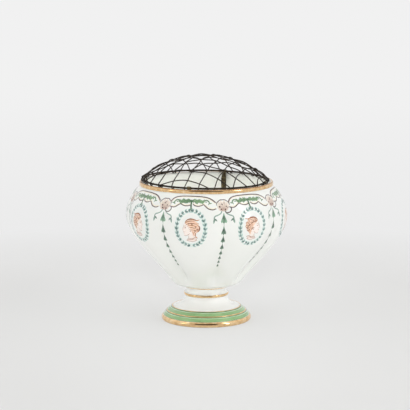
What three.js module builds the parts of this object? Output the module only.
// A footed porcelain rose bowl with eight lobes and a lift-out domed flower grille of woven wire.
// Millimetres, +Z up. The origin is on the table, under the middle of the foot. A lobe faces -Y.
import * as THREE from 'three';

// Bowl
const LOBE_COUNT = 8;
const LOBE_DEPTH = 3.2;
const LOW_LOBE_DEPTH = 7;
const RIM_HEIGHT = 133;
const RIM_RADIUS = 63.2;
const LIP_WALL = 3.2;
const NECK_HEIGHT = 4.4;
const BELLY_HEIGHT = 101;
const BELLY_RADIUS = 76.8;
const BODY_WALL = 3.4;
const BASE_RADIUS = 33;
const BASE_RISE = 4.8;
const CREASE_FADE = 17;
const COLLAR_RADIUS = 21.6;
const COLLAR_HEIGHT = 1.4;
const BOWL_FLOOR = 5.5;

// Pulls and leans of the bowl's outline curves, as shares of the height between their ends
const FLANK_LOW_PULL = 0.36;
const FLANK_LOW_LEAN = 0.28;
const FLANK_HIGH_PULL = 0.33;
const SHOULDER_LOW_PULL = 0.43;
const SHOULDER_HIGH_PULL = 0.22;
const SHOULDER_HIGH_LEAN = -0.22;

// Foot
const SEAT_HEIGHT = 31.8;
const WAIST_RADIUS = 19.2;
const BEAD_RADIUS = 21.3;
const BEAD_HEIGHT = 25.2;
const BEAD_WIDTH = 3.4;
const BEAD_CREST = 1.1;
const BEAD_ROOT_RADIUS = 19.9;
const SPREAD_RADIUS = 32.4;
const SPREAD_HEIGHT = 13.2;
const BAND_RADIUS = 41.2;
const BAND_HEIGHT = 5;
const BAND_SWELL = 1;
const FOOT_RADIUS = 42.7;
const FOOT_RING_RADIUS = 41.8;
const FOOT_RING_WIDTH = 4.3;
const FOOT_WALL = 4.2;
const FOOT_WEB = 5.8;

// Grille
const RING_WIRE = 1.8;
const MESH_WIRE = 1;
const MESH_ROWS = 9;
const MESH_EDGE_GAP = 8;
const MESH_SHIFT_A = -2.8;
const MESH_SHIFT_B = -4.1;
const DOME_HEIGHT = 22.9;
const GRILLE_TURN = -12;
const WIRE_CLEARANCE = 0.16;
const LIP_CLEARANCE = 0.22;
const RING_GAP = 1.2;
const GRILLE_SLIDE = 1.3;
const SLIDE_TURN = 160;
const TIE_MARGIN = 2.4;
const TIE_SPREAD = 1.9;
const TIE_LEAD = 0.95;
const TIE_TURN = 250;

// Spring legs of the grille
const LEG_WIDTH = 5.2;
const LEG_NECK_WIDTH = 4;
const LEG_THICKNESS = 0.6;
const LEG_LENGTH = 25;
const LEG_BOW = 0.9;
const LEG_TOE = 1.8;
const LEG_TURNS = [4, 93.4, 188.8, 277.8];
const LEG_TAPER = 8.3;
const BOW_SHARE = 0.4;
const RETURN_SHARE = 0.75;
const HOOK_START = -100;
const HOOK_TURN = 280;

// Faceting
const BOWL_STEPS = 80;
const FOOT_STEPS = 60;
const HOLLOW_STEPS = 5;
const ROLL_STEPS = 4;
const BAND_STEPS = 2;
const SPREAD_STEPS = 5;
const SHOULDER_STEPS = 7;
const FLANK_STEPS = 9;
const INSIDE_STEPS = 5;
const BASE_STEPS = 3;
const LIP_STEPS = 4;
const RING_STEPS = 72;
const RING_SIDES = 6;
const MESH_SIDES = 5;
const TIE_STEPS = 6;
const HOOK_STEPS = 7;
const LEG_STEPS = 9;

const point = (radius, height) => new THREE.Vector2(radius, height);
const radians = THREE.MathUtils.degToRad;

const porcelain = new THREE.MeshStandardMaterial({ color: 0xeeefea, roughness: 0.12, metalness: 0 });
const footPorcelain = new THREE.MeshStandardMaterial({ color: 0x9dc08c, roughness: 0.15, metalness: 0 });
const ringWire = new THREE.MeshStandardMaterial({ color: 0x4a3f33, roughness: 0.45, metalness: 0.9 });
const meshWire = new THREE.MeshStandardMaterial({ color: 0x3d352d, roughness: 0.45, metalness: 0.9 });
const legStrip = new THREE.MeshStandardMaterial({ color: 0x6b5f47, roughness: 0.4, metalness: 0.9 });

// Turns a profile of radius and height, listed up the outside and down the inside, about +Z.
function revolve(profile, steps) {
  return new THREE.LatheGeometry(profile, steps).rotateX(Math.PI / 2);
}

// The bowl's outline, as the radius at the middle of a lobe against height.
const neckFoot = point(RIM_RADIUS, RIM_HEIGHT - NECK_HEIGHT);
const belly = point(BELLY_RADIUS, BELLY_HEIGHT);
const base = point(BASE_RADIUS, SEAT_HEIGHT + BASE_RISE);
const collarTop = point(COLLAR_RADIUS, SEAT_HEIGHT + COLLAR_HEIGHT);

// A cubic curve between two points of the outline. Each pull is a share of the height between them.
function sweep(from, fromPull, fromLean, to, toPull, toLean) {
  const rise = to.y - from.y;
  const leave = point(from.x + fromLean * rise, from.y + fromPull * rise);
  const arrive = point(to.x - toLean * rise, to.y - toPull * rise);
  return new THREE.CubicBezierCurve(from, leave, arrive, to);
}

const underside = new THREE.QuadraticBezierCurve(
  collarTop,
  point((COLLAR_RADIUS + BASE_RADIUS) / 2, collarTop.y),
  base,
);
const flank = sweep(base, FLANK_LOW_PULL, FLANK_LOW_LEAN, belly, FLANK_HIGH_PULL, 0);
const shoulder = sweep(belly, SHOULDER_LOW_PULL, 0, neckFoot, SHOULDER_HIGH_PULL, SHOULDER_HIGH_LEAN);

// The creases are pressed in by this much where the lobes meet. They grow deeper from the belly
// down, and die out at the neck and collar.
function creaseDepth(height) {
  const top = THREE.MathUtils.smoothstep(neckFoot.y - height, 0, neckFoot.y - belly.y);
  const foot = THREE.MathUtils.smoothstep(height, collarTop.y, collarTop.y + CREASE_FADE);
  const below = THREE.MathUtils.clamp((belly.y - height) / (belly.y - base.y), 0, 1);
  return THREE.MathUtils.lerp(LOBE_DEPTH, LOW_LOBE_DEPTH, below) * top * foot;
}

// Lobes are round between their creases: the pull inwards grows with the square of the turn
// away from the middle of the lobe.
function pressLobes(geometry) {
  const corners = geometry.attributes.position;
  const lobeAngle = (2 * Math.PI) / LOBE_COUNT;
  for (let i = 0; i < corners.count; i += 1) {
    const x = corners.getX(i);
    const y = corners.getY(i);
    const radius = Math.hypot(x, y);
    if (radius > 0) {
      const turn = Math.atan2(x, -y) / lobeAngle;
      const offCentre = 2 * (turn - Math.round(turn));
      const pull = creaseDepth(corners.getZ(i)) * offCentre ** 2;
      const keep = Math.max(0, 1 - pull / radius);
      corners.setXY(i, x * keep, y * keep);
    }
  }
  return geometry;
}

// The inner face follows the outer one at the thickness of the wall.
function insetPoints(curve) {
  const points = [];
  for (let i = INSIDE_STEPS; i >= 0; i -= 1) {
    const t = i / INSIDE_STEPS;
    const outer = curve.getPoint(t);
    const along = curve.getTangent(t);
    points.push(point(outer.x - BODY_WALL * along.y, outer.y + BODY_WALL * along.x));
  }
  return points;
}

const lipRound = LIP_WALL / 2;
const lipCentre = point(RIM_RADIUS - lipRound, RIM_HEIGHT - lipRound);
const neckRadius = RIM_RADIUS - LIP_WALL;

function makeBowl() {
  const floorHeight = SEAT_HEIGHT + BOWL_FLOOR;
  const lip = [];
  for (let i = 0; i <= LIP_STEPS; i += 1) {
    const angle = (Math.PI * i) / LIP_STEPS;
    lip.push(point(lipCentre.x + lipRound * Math.cos(angle), lipCentre.y + lipRound * Math.sin(angle)));
  }
  const inside = [
    ...insetPoints(shoulder),
    ...insetPoints(flank).slice(1),
  ].filter((corner) => corner.y < neckFoot.y - BODY_WALL / 2 && corner.y > floorHeight);
  const profile = [
    point(0, SEAT_HEIGHT),
    point(COLLAR_RADIUS - COLLAR_HEIGHT / 2, SEAT_HEIGHT),
    point(COLLAR_RADIUS, SEAT_HEIGHT + COLLAR_HEIGHT / 2),
    ...underside.getPoints(BASE_STEPS),
    ...flank.getPoints(FLANK_STEPS).slice(1),
    ...shoulder.getPoints(SHOULDER_STEPS).slice(1),
    ...lip,
    point(neckRadius, neckFoot.y),
    ...inside,
    point(BASE_RADIUS / 2, floorHeight),
    point(0, floorHeight),
  ];
  return new THREE.Mesh(pressLobes(revolve(profile, BOWL_STEPS)), porcelain);
}

// The foot is hollow underneath and stands on a flat ring.
function makeFoot() {
  const ringInside = FOOT_RING_RADIUS - FOOT_RING_WIDTH;
  const stemInside = WAIST_RADIUS - FOOT_WALL;
  const hollowTop = SEAT_HEIGHT - FOOT_WEB;
  const spreadInside = SPREAD_HEIGHT - FOOT_WALL;
  const beadHalf = BEAD_WIDTH / 2;
  const waistHeight = (SEAT_HEIGHT + BEAD_HEIGHT + beadHalf) / 2;
  const hollow = new THREE.CubicBezierCurve(
    point(stemInside, hollowTop - FOOT_WALL / 2),
    point(stemInside, spreadInside),
    point(ringInside - FOOT_WALL, spreadInside),
    point(ringInside, FOOT_RING_WIDTH / 2),
  );
  const spread = new THREE.CubicBezierCurve(
    point(SPREAD_RADIUS, SPREAD_HEIGHT),
    point((WAIST_RADIUS + SPREAD_RADIUS) / 2, SPREAD_HEIGHT),
    point(BEAD_ROOT_RADIUS, (SPREAD_HEIGHT + BEAD_HEIGHT) / 2 - beadHalf),
    point(BEAD_ROOT_RADIUS, BEAD_HEIGHT - beadHalf),
  );
  const roll = new THREE.QuadraticBezierCurve(
    point(FOOT_RING_RADIUS, 0),
    point(2 * FOOT_RADIUS - (FOOT_RING_RADIUS + BAND_RADIUS) / 2, BAND_HEIGHT / 2),
    point(BAND_RADIUS, BAND_HEIGHT),
  );
  const band = new THREE.QuadraticBezierCurve(
    point(BAND_RADIUS, BAND_HEIGHT),
    point((BAND_RADIUS + SPREAD_RADIUS) / 2 + BAND_SWELL, (BAND_HEIGHT + SPREAD_HEIGHT) / 2 + BAND_SWELL),
    point(SPREAD_RADIUS, SPREAD_HEIGHT),
  );
  const profile = [
    point(0, hollowTop),
    point(stemInside - FOOT_WALL / 2, hollowTop),
    ...hollow.getPoints(HOLLOW_STEPS),
    point(ringInside, 0),
    ...roll.getPoints(ROLL_STEPS),
    ...band.getPoints(BAND_STEPS).slice(1),
    ...spread.getPoints(SPREAD_STEPS).slice(1),
    point(BEAD_RADIUS, BEAD_HEIGHT - BEAD_CREST / 2),
    point(BEAD_RADIUS, BEAD_HEIGHT + BEAD_CREST / 2),
    point(BEAD_ROOT_RADIUS, BEAD_HEIGHT + beadHalf),
    point(WAIST_RADIUS, waistHeight),
    point(COLLAR_RADIUS - COLLAR_HEIGHT, SEAT_HEIGHT),
    point(0, SEAT_HEIGHT),
  ];
  return new THREE.Mesh(revolve(profile, FOOT_STEPS), footPorcelain);
}

// The grille is drawn about the middle of its ring, which lies on the lip by the wire ties.

const ringRound = RING_WIRE / 2;
const wireRound = MESH_WIRE / 2;
const ringRadius = neckRadius - RING_GAP;
const tieRadius = ringRound + wireRound + WIRE_CLEARANCE;
const tieReach = tieRadius + wireRound;
const seatReach = lipRound + tieReach + LIP_CLEARANCE;

// How high the middle of the ring lies over the middle of the lip's roundness, once it has slid
// outwards by so much.
const seatRise = (slide) => Math.sqrt(seatReach ** 2 - (lipCentre.x - ringRadius - slide) ** 2);
const ringHeight = lipCentre.y + seatRise(0);
const grilleTilt = Math.atan((seatRise(GRILLE_SLIDE) - seatRise(0)) / ringRadius);

// The wires lie on a ball-shaped cap that meets the ring's ties on a slope.
const capSlope = 2 * Math.atan(DOME_HEIGHT / ringRadius);
const capEdgeRadius = ringRadius + tieRadius * Math.sin(capSlope);
const capRise = DOME_HEIGHT - tieRadius * Math.cos(capSlope);
const capBall = (capEdgeRadius ** 2 + capRise ** 2) / (2 * capRise);
const weaveLift = wireRound + WIRE_CLEARANCE / 2;

// A point of the cap over x and y, lifted off it square to its surface.
function capPoint(x, y, lift) {
  const up = Math.sqrt(capBall ** 2 - x ** 2 - y ** 2);
  const onCap = new THREE.Vector3(x, y, up).multiplyScalar((capBall + lift) / capBall);
  return onCap.add(new THREE.Vector3(0, 0, DOME_HEIGHT - capBall));
}

// A tube or strip with one section at each of its points, square to the bend there.
class Route extends THREE.Curve {
  constructor(points) {
    super();
    this.points = points;
  }

  getPointAt(u, target = new THREE.Vector3()) {
    return target.copy(this.points[Math.round(u * (this.points.length - 1))]);
  }

  getTangentAt(u, target = new THREE.Vector3()) {
    const last = this.points.length - 1;
    const here = Math.round(u * last);
    const before = this.points[Math.max(here - 1, 0)];
    const after = this.points[Math.min(here + 1, last)];
    const arriving = this.points[here].clone().sub(before).normalize();
    const leaving = after.clone().sub(this.points[here]).normalize();
    return target.copy(arriving).add(leaving).normalize();
  }
}

function alongRoute(section, points) {
  return new THREE.ExtrudeGeometry(section, {
    steps: points.length - 1,
    bevelEnabled: false,
    extrudePath: new Route(points),
  });
}

function roundSection(radius, sides) {
  const corners = [];
  for (let i = 0; i < sides; i += 1) {
    const angle = (2 * Math.PI * i) / sides;
    corners.push(point(radius * Math.cos(angle), radius * Math.sin(angle)));
  }
  return new THREE.Shape(corners);
}

// How far each wire of a family lies from the middle of the ring. The rows are spread evenly over
// the ring. The families cross square, and the second one is the first turned a quarter.
function rowOffsets(shift) {
  const reach = ringRadius - MESH_EDGE_GAP;
  const pitch = (2 * reach) / (MESH_ROWS - 1);
  const offsets = [];
  for (let row = 0; row < MESH_ROWS; row += 1) {
    offsets.push(row * pitch - reach + shift);
  }
  return offsets;
}

// The turn at which a wire meets the ring. Two wires that would cross on the ring or close beside
// it are tied a little apart instead.
function tieAngle(offset, crossings) {
  let angle = Math.asin(Math.abs(offset) / ringRadius);
  for (const across of crossings) {
    const reach = Math.hypot(across, offset);
    if (across > 0 && Math.abs(reach - ringRadius) < TIE_MARGIN) {
      angle = Math.max(angle, Math.atan2(Math.abs(offset), across) + TIE_SPREAD / ringRadius);
    }
  }
  return offset < 0 ? -angle : angle;
}

// The end of a wire: over the ring, down outside it, and back up inside.
function tiePoints(offset, crossings) {
  const angle = tieAngle(offset, crossings);
  const outward = new THREE.Vector3(Math.cos(angle), Math.sin(angle), 0);
  const onward = new THREE.Vector3(Math.sin(angle), -Math.cos(angle), 0);
  const lead = offset < 0 ? -TIE_LEAD : TIE_LEAD;
  const start = Math.PI / 2 - capSlope;
  const points = [];
  for (let i = 0; i <= TIE_STEPS; i += 1) {
    const share = i / TIE_STEPS;
    const turn = start - radians(TIE_TURN) * share;
    const place = outward.clone().multiplyScalar(ringRadius + tieRadius * Math.cos(turn));
    place.addScaledVector(onward, lead * share);
    place.z = tieRadius * Math.sin(turn);
    points.push(place);
  }
  return points;
}

// One wire, drawn along x at its offset in y. It passes over and under the wires that it crosses,
// and its two ends are tied alike, half a turn apart.
function wirePoints(offset, crossings, firstLift) {
  const points = [];
  crossings.forEach((across, column) => {
    if (Math.hypot(across, offset) < ringRadius - TIE_MARGIN) {
      const lift = column % 2 === 0 ? firstLift : -firstLift;
      points.push(capPoint(across, offset, lift));
    }
  });
  points.sort((one, other) => one.x - other.x);
  const nearEnd = tiePoints(offset, crossings);
  const farEnd = tiePoints(-offset, crossings.map((across) => -across));
  const turned = farEnd.map((place) => new THREE.Vector3(-place.x, -place.y, place.z));
  return [...turned.reverse(), ...points, ...nearEnd];
}

const wireSection = roundSection(wireRound, MESH_SIDES);

function addWires(grille, family, offsets, crossings, turn) {
  const side = family === 'a' ? weaveLift : -weaveLift;
  offsets.forEach((offset, row) => {
    const lift = row % 2 === 0 ? side : -side;
    const wire = new THREE.Mesh(alongRoute(wireSection, wirePoints(offset, crossings, lift)), meshWire);
    wire.name = `wire_${family}_${row + 1}`;
    wire.rotation.z = radians(turn);
    grille.add(wire);
  });
}

function makeRing() {
  return new THREE.Mesh(new THREE.TorusGeometry(ringRadius, ringRound, RING_SIDES, RING_STEPS), ringWire);
}

// A strip hooked round the ring, whose leg hangs down inside the neck and curls in at its toe.
function legPoints() {
  const hookRadius = ringRound + WIRE_CLEARANCE + LEG_THICKNESS / 2;
  const hook = [];
  for (let i = 0; i <= HOOK_STEPS; i += 1) {
    const angle = radians(HOOK_START + (HOOK_TURN * i) / HOOK_STEPS);
    const out = ringRadius + hookRadius * Math.cos(angle);
    hook.push(new THREE.Vector3(out, 0, hookRadius * Math.sin(angle)));
  }
  const legRadius = ringRadius - hookRadius;
  const strip = new THREE.CatmullRomCurve3([
    hook[HOOK_STEPS],
    new THREE.Vector3(legRadius - LEG_BOW, 0, -LEG_LENGTH * BOW_SHARE),
    new THREE.Vector3(legRadius, 0, -LEG_LENGTH * RETURN_SHARE),
    new THREE.Vector3(legRadius - LEG_TOE, 0, -LEG_LENGTH),
  ]);
  return [...hook, ...strip.getPoints(LEG_STEPS).slice(1)];
}

function addLegs(grille) {
  const halfWidth = LEG_WIDTH / 2;
  const halfThick = LEG_THICKNESS / 2;
  const section = new THREE.Shape([
    point(-halfWidth, -halfThick),
    point(halfWidth, -halfThick),
    point(halfWidth, halfThick),
    point(-halfWidth, halfThick),
  ]);
  const strip = alongRoute(section, legPoints());
  const corners = strip.attributes.position;
  for (let i = 0; i < corners.count; i += 1) {
    const widen = THREE.MathUtils.smoothstep(-corners.getZ(i), ringRound, LEG_TAPER);
    const width = THREE.MathUtils.lerp(LEG_NECK_WIDTH, LEG_WIDTH, widen);
    corners.setY(i, (corners.getY(i) * width) / LEG_WIDTH);
  }
  LEG_TURNS.forEach((turn, i) => {
    const leg = new THREE.Mesh(strip.clone(), legStrip);
    leg.name = `spring_leg_${i + 1}`;
    leg.rotation.z = radians(turn);
    grille.add(leg);
  });
}

const bowl = makeBowl();
bowl.name = 'bowl';

const foot = makeFoot();
foot.name = 'pedestal_foot';

const grille = new THREE.Group();
const ring = makeRing();
ring.name = 'grille_ring';
grille.add(ring);
const rowsA = rowOffsets(MESH_SHIFT_A);
const rowsB = rowOffsets(MESH_SHIFT_B);
addWires(grille, 'a', rowsA, rowsB.map((offset) => -offset), 0);
addWires(grille, 'b', rowsB, rowsA, 90);
addLegs(grille);

// The grille has slid a little to one side, so that side rides up on the lip and the other sinks.
const slideAngle = radians(SLIDE_TURN);
const slide = new THREE.Vector3(Math.cos(slideAngle), Math.sin(slideAngle), 0);
const tiltAxis = slide.clone().cross(new THREE.Vector3(0, 0, 1));
grille.position.copy(slide).multiplyScalar(GRILLE_SLIDE);
grille.position.z = ringHeight;
grille.setRotationFromAxisAngle(tiltAxis, grilleTilt);
grille.rotateZ(radians(GRILLE_TURN));

const roseBowl = new THREE.Group();
roseBowl.add(bowl, foot, grille);

export default roseBowl;
